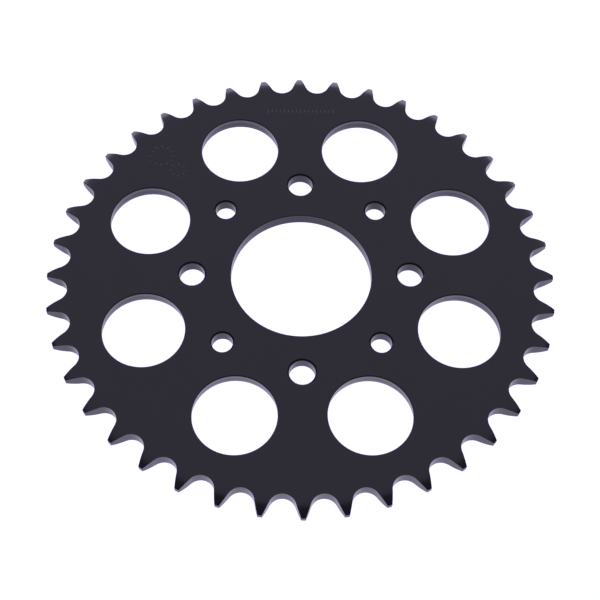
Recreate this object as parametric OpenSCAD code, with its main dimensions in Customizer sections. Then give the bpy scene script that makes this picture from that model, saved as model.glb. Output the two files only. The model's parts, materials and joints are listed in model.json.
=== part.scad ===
// Motorcycle rear sprocket, cut from one flat steel plate.
// It lies flat with its hub side down: the origin is on the bore's axis, on the hub-side face, and +Z runs
// out through the bore. A tooth and a large bolt hole both point along +X.

/* [Chain] */
// Chain pitch, from one roller's centre to the next
chain_pitch = 15.875; // [13:0.005:20]
// Diameter of the chain's rollers
roller_d = 10.16; // [8:0.01:12.5]
// Number of teeth
tooth_count = 40; // [33:1:48]

/* [Teeth] */
// Play between a roller and its seat, on the radius
seat_play = 0.2; // [0.05:0.05:0.6]
// Angle that the round seat takes up before the flanks start
seat_angle = 135; // [118:1:140]
// Radius of the gently rounded flanks
flank_r = 80; // [50:1:140]
// Height of the tooth tips above the pitch circle
tip_rise = 3.55; // [2.5:0.05:5]
// Radius of the relief on both sides of each tooth
relief_r = 16; // [10:0.5:22]
// Depth of that relief on each side, at the tips
relief_depth = 1.7; // [0.8:0.05:2]

/* [Plate] */
// Thickness of the plate
thickness = 5.8; // [4.5:0.1:9]
// Metal left between the roller seats and the lightening holes
rim_w = 10.6; // [6:0.1:16]
// Metal left between the bolt circle and the lightening holes
hub_land_w = 7.1; // [6.5:0.1:12]
// Least metal between two neighbouring lightening holes
spoke_w = 12; // [8:0.5:20]
// Depth of the straight, sheared band at the top of each lightening hole
shear_depth = 1.9; // [0.8:0.1:3.5]
// How much wider each lightening hole breaks out at the hub side, on the radius
breakout = 0.6; // [0.1:0.05:1]

/* [Bore] */
// Diameter of the centre bore that sits on the wheel hub
bore_d = 58; // [40:0.5:70]
// Lead-in chamfer on the hub side of the bore
bore_lead_in = 0.6; // [0.2:0.1:1.5]
// Edge break on the outer side of the bore
bore_edge = 0.2; // [0.1:0.05:0.8]

/* [Bolt holes] */
// Diameter of the circle that all the bolt holes are on
bolt_circle_d = 90; // [86:0.5:110]
// Number of bolt holes of each size, which take turns round the circle
bolt_count = 4; // [3:1:5]
// Diameter of the large bolt holes, for M10 bolts
large_bolt_d = 10.5; // [8:0.1:13]
// Diameter of the small bolt holes, for M8 bolts
small_bolt_d = 8.5; // [6:0.1:11]
// Chamfer round the outer end of every bolt hole
bolt_chamfer = 0.65; // [0.2:0.05:1]
// Smaller chamfer round the hub-side end
bolt_back_chamfer = 0.4; // [0.1:0.05:0.6]

/* [Hidden] */

coat_colour = [0.19, 0.175, 0.21];
past_face = 1;
round_fn = 180;
seat_fn = 60;

tooth_angle = 360 / tooth_count;
pitch_r = chain_pitch / 2 / sin(tooth_angle / 2);
tip_r = pitch_r + tip_rise;
seat_r = roller_d / 2 + seat_play;
root_r = pitch_r - seat_r;

// The relief starts this far in from the tips, where its arc is tangent to the plate's faces.
relief_w = sqrt(2 * relief_r * relief_depth - pow(relief_depth, 2));

bore_r = bore_d / 2;
bolt_circle_r = bolt_circle_d / 2;
bolt_step = 360 / bolt_count;

// The lightening holes fill the band between the hub land and the rim, one between each two bolt holes.
light_count = 2 * bolt_count;
light_step = 360 / light_count;
light_in_r = bolt_circle_r + hub_land_w;
light_out_r = root_r - rim_w;
light_circle_r = (light_in_r + light_out_r) / 2;
light_d = min(light_out_r - light_in_r, 2 * light_circle_r * sin(light_step / 2) - spoke_w);

// A seat turns into a flank at half the seat angle, where both arcs have the same tangent.
half_seat = seat_angle / 2;
flank_start = [pitch_r - seat_r * cos(half_seat), seat_r * sin(half_seat)];
flank_centre = [pitch_r - (seat_r + flank_r) * cos(half_seat), (seat_r + flank_r) * sin(half_seat)];
mouth_x = tip_r + past_face;
mouth_half_w = flank_start[1] + (mouth_x - flank_start[0]);

module seat_gap() {
    translate([pitch_r, 0])
        circle(r = seat_r, $fn = seat_fn);
    difference() {
        polygon([
            [flank_start[0], -flank_start[1]],
            [mouth_x, -mouth_half_w],
            [mouth_x, mouth_half_w],
            [flank_start[0], flank_start[1]],
            [pitch_r, 0]
        ]);
        for (side = [-1, 1])
            translate([flank_centre[0], side * flank_centre[1]])
                circle(r = flank_r, $fn = 4 * round_fn);
    }
}

module toothed_disc() {
    difference() {
        circle(r = tip_r + past_face / 2, $fn = 2 * round_fn);
        for (i = [0:tooth_count - 1])
            rotate((i + 0.5) * tooth_angle)
                seat_gap();
    }
}

// What the side relief takes off the upper corner of the plate's half section
module relief_corner() {
    difference() {
        translate([tip_r - relief_w, thickness / 2])
            square([relief_w + past_face, thickness / 2 + past_face]);
        translate([tip_r - relief_w, thickness - relief_r])
            circle(r = relief_r, $fn = 2 * round_fn);
    }
}

module plate_section() {
    difference() {
        square([tip_r, thickness]);
        relief_corner();
        translate([0, thickness])
            mirror([0, 1])
                relief_corner();
    }
}

// A through hole with its own chamfer at each face
module chamfered_hole(d, top_chamfer, bottom_chamfer, fn) {
    translate([0, 0, -past_face])
        cylinder(h = thickness + 2 * past_face, d = d, $fn = fn);
    translate([0, 0, thickness - top_chamfer])
        cylinder(h = top_chamfer + past_face, d1 = d, d2 = d + 2 * (top_chamfer + past_face), $fn = fn);
    translate([0, 0, -past_face])
        cylinder(h = bottom_chamfer + past_face, d1 = d + 2 * (bottom_chamfer + past_face), d2 = d, $fn = fn);
}

module bolt_holes(d, start_angle) {
    for (i = [0:bolt_count - 1])
        rotate(start_angle + i * bolt_step)
            translate([bolt_circle_r, 0, 0])
                chamfered_hole(d, bolt_chamfer, bolt_back_chamfer, seat_fn);
}

// A punched hole is straight through its sheared band and then breaks out wider towards the hub side.
module light_hole() {
    breakout_depth = thickness - shear_depth;
    slope = breakout / breakout_depth;
    translate([0, 0, -past_face])
        cylinder(h = thickness + 2 * past_face, d = light_d, $fn = round_fn);
    translate([0, 0, -past_face])
        cylinder(
            h = breakout_depth + past_face,
            d1 = light_d + 2 * (breakout + slope * past_face),
            d2 = light_d,
            $fn = round_fn
        );
}

module light_holes() {
    for (i = [0:light_count - 1])
        rotate((i + 0.5) * light_step)
            translate([light_circle_r, 0, 0])
                light_hole();
}

module sprocket_plate() {
    color(coat_colour)
        difference() {
            intersection() {
                translate([0, 0, -past_face])
                    linear_extrude(thickness + 2 * past_face)
                        toothed_disc();
                rotate_extrude($fn = 2 * round_fn)
                    plate_section();
            }
            chamfered_hole(bore_d, bore_edge, bore_lead_in, round_fn);
            bolt_holes(large_bolt_d, 0);
            bolt_holes(small_bolt_d, bolt_step / 2);
            light_holes();
        }
}

sprocket_plate();
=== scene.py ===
import json
import math

import bmesh
import bpy
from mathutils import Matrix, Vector


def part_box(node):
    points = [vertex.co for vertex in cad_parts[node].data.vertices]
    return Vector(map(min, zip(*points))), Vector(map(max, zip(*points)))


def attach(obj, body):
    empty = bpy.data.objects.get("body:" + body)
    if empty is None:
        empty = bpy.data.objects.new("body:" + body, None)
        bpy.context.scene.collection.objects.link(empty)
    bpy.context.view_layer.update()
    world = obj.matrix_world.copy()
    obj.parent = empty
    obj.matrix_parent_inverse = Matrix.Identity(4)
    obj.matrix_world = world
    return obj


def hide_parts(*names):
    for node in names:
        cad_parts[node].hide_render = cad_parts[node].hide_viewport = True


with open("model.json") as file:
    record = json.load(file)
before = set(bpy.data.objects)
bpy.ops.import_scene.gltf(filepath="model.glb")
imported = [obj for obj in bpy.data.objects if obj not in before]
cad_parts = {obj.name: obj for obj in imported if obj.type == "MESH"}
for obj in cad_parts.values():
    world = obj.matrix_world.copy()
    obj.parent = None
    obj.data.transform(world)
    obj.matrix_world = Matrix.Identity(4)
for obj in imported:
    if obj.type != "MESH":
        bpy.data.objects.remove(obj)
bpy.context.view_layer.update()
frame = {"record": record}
record = frame["record"]
plateLow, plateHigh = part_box("sprocket_plate")
mounts = {mount["name"]: mount for mount in record["mounts"]}
scene = bpy.context.scene
print("frame loaded")

# all sizes are in metres, and those that the frame already holds are read from it
tipRadius = plateHigh.x
past = 0.001  # how far a cutter runs past a face
down = plateLow.z - past
up = plateHigh.z + past
seam = 0.000002  # corners nearer than this are one corner after a cut


def takeUp(*pieces):
    if bpy.context.mode != "OBJECT":
        bpy.ops.object.mode_set(mode="OBJECT")
    bpy.ops.object.select_all(action="DESELECT")
    for piece in pieces:
        piece.select_set(True)
    bpy.context.view_layer.objects.active = pieces[0]


def openMesh(piece, kind="FACE"):
    takeUp(piece)
    bpy.ops.object.mode_set(mode="EDIT")
    bpy.ops.mesh.select_mode(type=kind)
    bpy.ops.mesh.select_all(action="DESELECT")
    return bmesh.from_edit_mesh(piece.data)


def pickFaces(piece, wanted):
    mesh = openMesh(piece)
    for face in mesh.faces:
        if wanted(face):
            face.select_set(True)
    bmesh.update_edit_mesh(piece.data)


def pickEdges(piece, wanted):
    mesh = openMesh(piece, "EDGE")
    for edge in mesh.edges:
        if wanted(edge):
            edge.select_set(True)
    bmesh.update_edit_mesh(piece.data)


def closeMesh():
    bpy.ops.object.mode_set(mode="OBJECT")


def applyAll(piece):
    takeUp(piece)
    for modifier in list(piece.modifiers):
        bpy.ops.object.modifier_apply(modifier=modifier.name)


def combine(piece, other, operation):
    step = piece.modifiers.new("combine", "BOOLEAN")
    step.operation = operation
    step.solver = "EXACT"
    step.material_mode = "TRANSFER"
    step.object = other
    applyAll(piece)
    bpy.data.objects.remove(other)


def mergeClose(piece, distance):
    openMesh(piece, "VERT")
    bpy.ops.mesh.select_all(action="SELECT")
    bpy.ops.mesh.remove_doubles(threshold=distance)
    bpy.ops.mesh.dissolve_degenerate(threshold=distance / 10)
    closeMesh()


def joinUp(pieces, name):
    takeUp(*pieces)
    bpy.ops.object.join()
    pieces[0].name = name
    return pieces[0]


def turnTo(piece, angle):
    takeUp(piece)
    piece.rotation_euler.z = angle
    bpy.ops.object.transform_apply(location=False, rotation=True, scale=False)
    return piece


def copyRound(piece, count):
    # the modelled one stays where it is, and its copies go round the bore's axis
    ring = [piece]
    for i in range(1, count):
        takeUp(piece)
        bpy.ops.object.duplicate()
        ring.append(turnTo(bpy.context.active_object, 2 * math.pi * i / count))
    return ring


def turned(name, x, rings, sides):
    # rings are (height, radius) going up: a cone makes the first two, then the top is pulled up and scaled
    (z0, r0), (z1, r1) = rings[:2]
    bpy.ops.mesh.primitive_cone_add(
        vertices=sides, radius1=r0, radius2=r1, depth=z1 - z0, location=(x, 0, (z0 + z1) / 2)
    )
    solid = bpy.context.active_object
    solid.name = name
    bpy.ops.object.transform_apply(location=True, rotation=True, scale=True)
    for (zLast, rLast), (z, r) in zip(rings[1:], rings[2:]):
        pickFaces(solid, lambda face: face.normal.z > 0.99 and face.calc_center_median().z > zLast - 1e-6)
        bpy.ops.mesh.extrude_region_move(TRANSFORM_OT_translate={"value": (0, 0, z - zLast)})
        if abs(r - rLast) > 1e-9:
            bpy.ops.transform.resize(value=(r / rLast, r / rLast, 1), center_override=(x, 0, z))
        closeMesh()
    return solid


class Wire:
    # one node output, so that shader maths is written as an expression
    def __init__(self, shader, socket):
        self.shader = shader
        self.socket = socket

    def join(self, operation, a, b):
        return self.shader.node("ShaderNodeMath", {"operation": operation}, {0: a, 1: b})

    def __add__(self, other):
        return self.join("ADD", self, other)

    def __radd__(self, other):
        return self.join("ADD", other, self)

    def __mul__(self, other):
        return self.join("MULTIPLY", self, other)

    def __rmul__(self, other):
        return self.join("MULTIPLY", other, self)


class Shader:
    def __init__(self, name):
        self.material = bpy.data.materials.new(name)
        self.material.use_nodes = True
        self.tree = self.material.node_tree
        self.surface = self.tree.nodes["Principled BSDF"]

    def node(self, kind, settings, inputs, output=0):
        made = self.tree.nodes.new(kind)
        for key, value in settings.items():
            setattr(made, key, value)
        for key, value in inputs.items():
            self.feed(made.inputs[key], value)
        return Wire(self, made.outputs[output])

    def feed(self, target, value):
        if isinstance(value, Wire):
            self.tree.links.new(value.socket, target)
        else:
            target.default_value = value

    def finish(self, values):
        for key, value in values.items():
            self.feed(self.surface.inputs[key], value)
        return self.material


coat = {
    "deep": (0.0150, 0.0142, 0.0160, 1),  # near black, a touch violet
    "pale": (0.0185, 0.0175, 0.0198, 1),
    "gloss": 0.18,
    "cloudSize": 0.022,
    "cloudGloss": 0.06,
    "grainSize": 0.0004,
    "grainGloss": 0.05,
    "grainHeight": 0.00004,
    "ior": 1.46,
}


def coatFinishAndPaintedLight(name, streak, depth, shade=1.0, dull=0.0, shine=0.5):
    # streak squeezes the grain along x, y and z, so that cut walls carry their own tool marks
    gloss = coat["gloss"] + dull
    shader = Shader(name)
    place = shader.node("ShaderNodeTexCoord", {}, {}, "Object")
    cloud = shader.node(
        "ShaderNodeTexNoise",
        {},
        {"Vector": place, "Scale": 1 / coat["cloudSize"], "Detail": 4.0, "Roughness": 0.6},
        "Fac",
    )
    drawn = shader.node("ShaderNodeVectorMath", {"operation": "MULTIPLY"}, {0: place, 1: streak})
    grain = shader.node(
        "ShaderNodeTexNoise",
        {},
        {"Vector": drawn, "Scale": 1 / coat["grainSize"], "Detail": 3.0, "Roughness": 0.6},
        "Fac",
    )
    tone = shader.node(
        "ShaderNodeMix", {"data_type": "RGBA"}, {"Factor": cloud, 6: coat["deep"], 7: coat["pale"]}, 2
    )
    # shade scales the coat's colour: on the drilled and broken walls it is painted shade, on the sheared
    # band painted light, and on the punched marks it makes them lighter
    shadeScale = (shade, shade, shade)
    colour = shader.node("ShaderNodeVectorMath", {"operation": "MULTIPLY"}, {0: tone, 1: shadeScale})
    bump = shader.node(
        "ShaderNodeBump",
        {},
        {"Strength": depth, "Distance": coat["grainHeight"], "Height": grain},
        "Normal",
    )
    return shader.finish(
        {
            "Base Color": colour,
            "Roughness": gloss + coat["cloudGloss"] * cloud + coat["grainGloss"] * grain,
            "Metallic": 0.0,
            "IOR": coat["ior"],
            "Specular IOR Level": shine,
            "Normal": bump,
        }
    )


faceCoat = coatFinishAndPaintedLight("faceCoat", streak=(1, 1, 1), depth=0.10)
flankCoat = coatFinishAndPaintedLight("flankCoat", streak=(1, 1, 0.05), depth=0.25)
# painted shade: the drilled walls are the same black coat with its colour lowered to 0.9; their streaked
# grain is the real tool marks
drilledCoat = coatFinishAndPaintedLight("drilledCoat", streak=(0.05, 0.05, 1.4), depth=0.35, shade=0.9, shine=0.41)
# painted light: the sheared band is the same black coat with its colour raised 1.4 times for the bright
# floor it reflects
shearedCoat = coatFinishAndPaintedLight("shearedCoat", streak=(1, 1, 0.04), depth=0.15, shade=1.4, shine=1.0)
# partly real, partly painted shade: the break-out is rougher and more bumped, and its colour is lowered to
# 0.9
brokenCoat = coatFinishAndPaintedLight("brokenCoat", streak=(1, 1, 0.3), depth=0.70, shade=0.9, dull=0.15, shine=0.36)
punchedCoat = coatFinishAndPaintedLight("punchedCoat", streak=(1, 1, 1), depth=0.10, shade=5.2, dull=0.1)
print("finishes made")

teeth = {
    "count": 40,
    "pitch": 0.015875,
    "seatRadius": 0.00528,
    "seatAngle": 135.0,
    "seatSteps": 10,
    "flankRadius": 0.080,
    "flankSteps": 8,
    "reliefRadius": 0.016,
    "reliefDepth": 0.0017,
    "reliefSteps": 10,
    "sidesEach": 18,
    "cutWeld": 0.00003,  # leftover slivers of the cut are merged away
    "edgeAngle": 50.0,  # edges sharper than this are broken
    "edgeBreak": 0.00013,
    "edgeWeld": 0.00001,
}


def gapCutter():
    # half the gap is spun up from one point: first the roller's seat, then the long flank above it
    # (with no window, spin turns clockwise about its axis)
    centre = teeth["pitch"] / 2 / math.sin(math.pi / teeth["count"])
    seat = teeth["seatRadius"]
    flank = teeth["flankRadius"]
    end = math.radians(teeth["seatAngle"] / 2)
    flankX = centre - (seat + flank) * math.cos(end)
    flankY = (seat + flank) * math.sin(end)
    far = math.hypot(flankX, flankY)
    reach = tipRadius + past / 2
    swing = math.acos((flank**2 + far**2 - reach**2) / (2 * flank * far))
    flankTurn = math.atan2(-flankY, -flankX) + swing + end

    bpy.ops.mesh.primitive_plane_add(size=0.001, location=(0, 0, 0))
    gap = bpy.context.active_object
    gap.name = "gapCutter"
    openMesh(gap, "VERT")
    bpy.ops.mesh.select_all(action="SELECT")
    bpy.ops.mesh.merge(type="CENTER")
    bpy.ops.transform.translate(value=(centre - seat, 0, down))
    bpy.ops.mesh.spin(steps=teeth["seatSteps"], angle=end, center=(centre, 0, down), axis=(0, 0, 1))
    bpy.ops.mesh.spin(
        steps=teeth["flankSteps"], angle=flankTurn, center=(flankX, flankY, down), axis=(0, 0, -1)
    )
    closeMesh()
    half = gap.modifiers.new("otherHalf", "MIRROR")
    half.use_axis = (False, True, False)
    half.merge_threshold = 1e-6
    applyAll(gap)
    openMesh(gap, "VERT")
    bpy.ops.mesh.select_all(action="SELECT")
    bpy.ops.mesh.edge_face_add()
    bpy.ops.mesh.extrude_region_move(TRANSFORM_OT_translate={"value": (0, 0, up - down)})
    bpy.ops.mesh.select_all(action="SELECT")
    bpy.ops.mesh.normals_make_consistent(inside=False)
    closeMesh()
    gap.data.materials.append(flankCoat)
    return turnTo(gap, math.pi / teeth["count"])


def relievedDisc():
    # both faces curve down towards the tips, where only a narrow land is left
    depth, radius = teeth["reliefDepth"], teeth["reliefRadius"]
    width = math.sqrt(2 * radius * depth - depth**2)
    curve = []
    for i in range(teeth["reliefSteps"] + 1):
        out = width * i / teeth["reliefSteps"]
        curve.append((radius - math.sqrt(radius**2 - out**2), tipRadius - width + out))
    rings = [(plateLow.z + drop, r) for drop, r in curve]
    rings += [(plateHigh.z - drop, r) for drop, r in reversed(curve)]
    disc = turned("sprocketPlate", 0, rings, teeth["count"] * teeth["sidesEach"])
    disc.data.materials.append(faceCoat)
    return disc


sprocket = relievedDisc()
combine(sprocket, joinUp(copyRound(gapCutter(), teeth["count"]), "gapCutters"), "DIFFERENCE")
mergeClose(sprocket, teeth["cutWeld"])
sharp = math.radians(teeth["edgeAngle"])
pickEdges(sprocket, lambda edge: edge.is_manifold and edge.calc_face_angle(0) > sharp)
bpy.ops.mesh.bevel(offset=teeth["edgeBreak"], segments=2, profile=0.5, affect="EDGES", clamp_overlap=False)
closeMesh()
mergeClose(sprocket, teeth["edgeWeld"])
print("teeth cut and their edges broken")

bore = {
    "radius": mounts["hub_bore"]["dims"]["r_mm"] / 1000,
    "leadIn": 0.0006,
    "edge": 0.0002,
    "sides": 288,
}


def boreCutter():
    r = bore["radius"]
    rings = [
        (down, r + bore["leadIn"]),
        (plateLow.z, r + bore["leadIn"]),
        (plateLow.z + bore["leadIn"], r),
        (plateHigh.z - bore["edge"], r),
        (plateHigh.z, r + bore["edge"]),
        (up, r + bore["edge"]),
    ]
    cutter = turned("boreCutter", 0, rings, bore["sides"])
    cutter.data.materials.append(drilledCoat)
    return cutter


boltHoles = {
    "chamfer": 0.00065,
    "backChamfer": 0.0004,
    "sides": 80,
}


def boltCutters(mountName, firstAngle):
    dims = mounts[mountName]["dims"]
    r = dims["hole_r_mm"] / 1000
    outer, back = boltHoles["chamfer"], boltHoles["backChamfer"]
    rings = [
        (down, r + back),
        (plateLow.z, r + back),
        (plateLow.z + back, r),
        (plateHigh.z - outer, r),
        (plateHigh.z, r + outer),
        (up, r + outer),
    ]
    cutter = turned("boltCutter", dims["pcd_mm"] / 2000, rings, boltHoles["sides"])
    cutter.data.materials.append(drilledCoat)
    return copyRound(turnTo(cutter, firstAngle), dims["count"])


lightHoles = {
    "radius": 0.016594,
    "shearDepth": 0.0019,
    "breakout": 0.0006,
    "tornTop": 0.0005,  # the break-out opens quickly at first,
    "tornTopReach": 0.2,  # to this share of its width,
    "tornEnd": 0.4,  # and its rough part ends at this share of its height
    "tornEndReach": 0.7,
    "rollOver": 0.0005,
    "rollSteps": 6,
    "sides": 144,
}


def lightCutters():
    # punched: a rolled-over rim, a smooth sheared band, then a wider, rougher break-out to the hub side
    corners = record["physics"]["openings"][0]["box_m"]
    x, y = [(a + b) / 2 for a, b in zip(*corners)][:2]
    r, wide, roll = lightHoles["radius"], lightHoles["breakout"], lightHoles["rollOver"]
    shear = plateHigh.z - lightHoles["shearDepth"]
    torn = plateLow.z + lightHoles["tornEnd"] * (shear - plateLow.z)
    rings = [
        (down, r + wide),
        (plateLow.z, r + wide),
        (torn, r + lightHoles["tornEndReach"] * wide),
        (shear - lightHoles["tornTop"], r + lightHoles["tornTopReach"] * wide),
        (shear, r),
    ]
    for i in range(lightHoles["rollSteps"] + 1):
        a = math.pi / 2 * i / lightHoles["rollSteps"]
        rings.append((plateHigh.z - roll + roll * math.sin(a), r + roll - roll * math.cos(a)))
    rings.append((up, r + roll))
    cutter = turned("lightCutter", math.hypot(x, y), rings, lightHoles["sides"])
    cutter.data.materials.append(shearedCoat)
    # going up: the clean end of the break-out, its rough start with painted shade, then past the sheared
    # band (painted light) the rolled rim
    zones = [(down, torn, flankCoat), (torn, shear, brokenCoat), (plateHigh.z - roll, up, faceCoat)]
    for i, (low, high, finish) in enumerate(zones):
        cutter.data.materials.append(finish)
        pickFaces(cutter, lambda face: low < face.calc_center_median().z < high)
        cutter.active_material_index = i + 1
        bpy.ops.object.material_slot_assign()
        closeMesh()
    return copyRound(turnTo(cutter, math.atan2(y, x)), len(record["physics"]["openings"]))


cutters = [boreCutter()] + boltCutters("large_bolt_holes", 0)
cutters += boltCutters("small_bolt_holes", math.pi / mounts["small_bolt_holes"]["dims"]["count"])
cutters += lightCutters()
combine(sprocket, joinUp(cutters, "holeCutters"), "DIFFERENCE")
mergeClose(sprocket, seam)
print("bore, bolt holes and lightening holes cut")

marks = {
    "depth": 0.00012,
    "stroke": 0.0007,
    "taper": (0.6, 0.92, 1),  # how narrow a stroke's floor is, across and along
    "rowPlace": (0.0004, 0.0854),
    "rowStep": 0.0018,
    "rowCount": 17,
    "tallEvery": 4,
    "tall": 0.0030,
    "short": 0.0020,
    "rings": ((-0.0604, 0.0603, 0.0049, 12), (-0.0528, 0.0526, 0.0030, 8)),  # x, y, radius and strokes
    "ringStroke": 0.0020,
}


def bar(x, y, height, turn=0.0):
    bpy.ops.mesh.primitive_cube_add(
        size=1,
        location=(x, y, plateHigh.z),
        scale=(marks["stroke"], height, 2 * marks["depth"]),
    )
    stroke = bpy.context.active_object
    bpy.ops.object.transform_apply(location=False, rotation=False, scale=True)
    pickFaces(stroke, lambda face: face.normal.z < -0.9)
    bpy.ops.transform.resize(value=marks["taper"], center_override=(x, y, plateHigh.z))
    closeMesh()
    stroke.rotation_euler.z = turn
    bpy.ops.object.transform_apply(location=True, rotation=True, scale=True)
    stroke.data.materials.append(punchedCoat)
    return stroke


def punchMarks():
    # plain strokes only: a row of bars near the rim, and two small rings of them to one side
    strokes = []
    rowX, rowY = marks["rowPlace"]
    for i in range(marks["rowCount"]):
        height = marks["tall"] if i % marks["tallEvery"] == 0 else marks["short"]
        strokes.append(bar(rowX + (i - (marks["rowCount"] - 1) / 2) * marks["rowStep"], rowY, height))
    for ringX, ringY, radius, count in marks["rings"]:
        for i in range(count):
            a = 2 * math.pi * i / count
            x, y = ringX + radius * math.cos(a), ringY + radius * math.sin(a)
            strokes.append(bar(x, y, marks["ringStroke"], a - math.pi / 2))
    return joinUp(strokes, "punchMarks")


combine(sprocket, punchMarks(), "DIFFERENCE")
mergeClose(sprocket, seam)
print("marks punched")

takeUp(sprocket)
bpy.ops.object.shade_smooth_by_angle(angle=math.radians(20))  # facets of one curve meet at less than this
even = sprocket.modifiers.new("evenShading", "WEIGHTED_NORMAL")
even.keep_sharp = True
applyAll(sprocket)
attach(sprocket, "root")
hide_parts("sprocket_plate")
print("sprocket finished with", len(sprocket.data.polygons), "faces")

studio = {
    "floorSize": 60.0,
    "floorGlow": 1.04,
    "cast": (1.05, 1.0, 1.36),  # the lights' slight violet cast, which the white floor doesn't show
    "roomGlow": 0.095,
}

panels = {
    "rearPanel": {"side": 0.0, "rise": 60.5, "away": 1.5, "width": 3.6, "height": 2.00, "glow": 0.48},
    "lowPanel": {"side": 0.0, "rise": 12.0, "away": 3.0, "width": 8.0, "height": 1.30, "glow": 2.2},
}


def softPanel(name, panel):
    side, rise = math.radians(panel["side"]), math.radians(panel["rise"])
    away = Vector((math.sin(side) * math.cos(rise), math.cos(side) * math.cos(rise), math.sin(rise)))
    bpy.ops.object.light_add(type="AREA", location=away * panel["away"])
    light = bpy.context.active_object
    light.name = name
    light.data.shape = "RECTANGLE"
    light.data.size = panel["width"]
    light.data.size_y = panel["height"]
    light.data.energy = panel["glow"] * math.pi * panel["width"] * panel["height"]
    light.data.color = studio["cast"]
    light.rotation_euler = away.to_track_quat("Z", "Y").to_euler()


for name, panel in panels.items():
    softPanel(name, panel)

bpy.ops.object.select_all(action="DESELECT")
bpy.ops.mesh.primitive_plane_add(size=studio["floorSize"], location=(0, 0, plateLow.z))
floor = bpy.context.active_object
floor.name = "floor"
floor.data.materials.append(
    Shader("paleFloor").finish(
        {
            "Base Color": (0, 0, 0, 1),
            "Roughness": 1.0,
            "Specular IOR Level": 0.0,
            "Emission Color": (*studio["cast"], 1),
            "Emission Strength": studio["floorGlow"],
        }
    )
)

world = bpy.data.worlds.new("studioRoom")
scene.world = world
world.use_nodes = True
world.node_tree.nodes["Background"].inputs["Color"].default_value = (*studio["cast"], 1)
world.node_tree.nodes["Background"].inputs["Strength"].default_value = studio["roomGlow"]
scene.view_settings.view_transform = "Standard"

camera = {
    "place": (-0.01196, -0.25550, 0.42751),
    "turn": (29.966, -1.266, -0.471),
    "lens": 71.745,
}

bpy.ops.object.camera_add(location=camera["place"], rotation=[math.radians(a) for a in camera["turn"]])
eye = bpy.context.active_object
eye.data.lens = camera["lens"]
scene.camera = eye
print("studio and camera set")
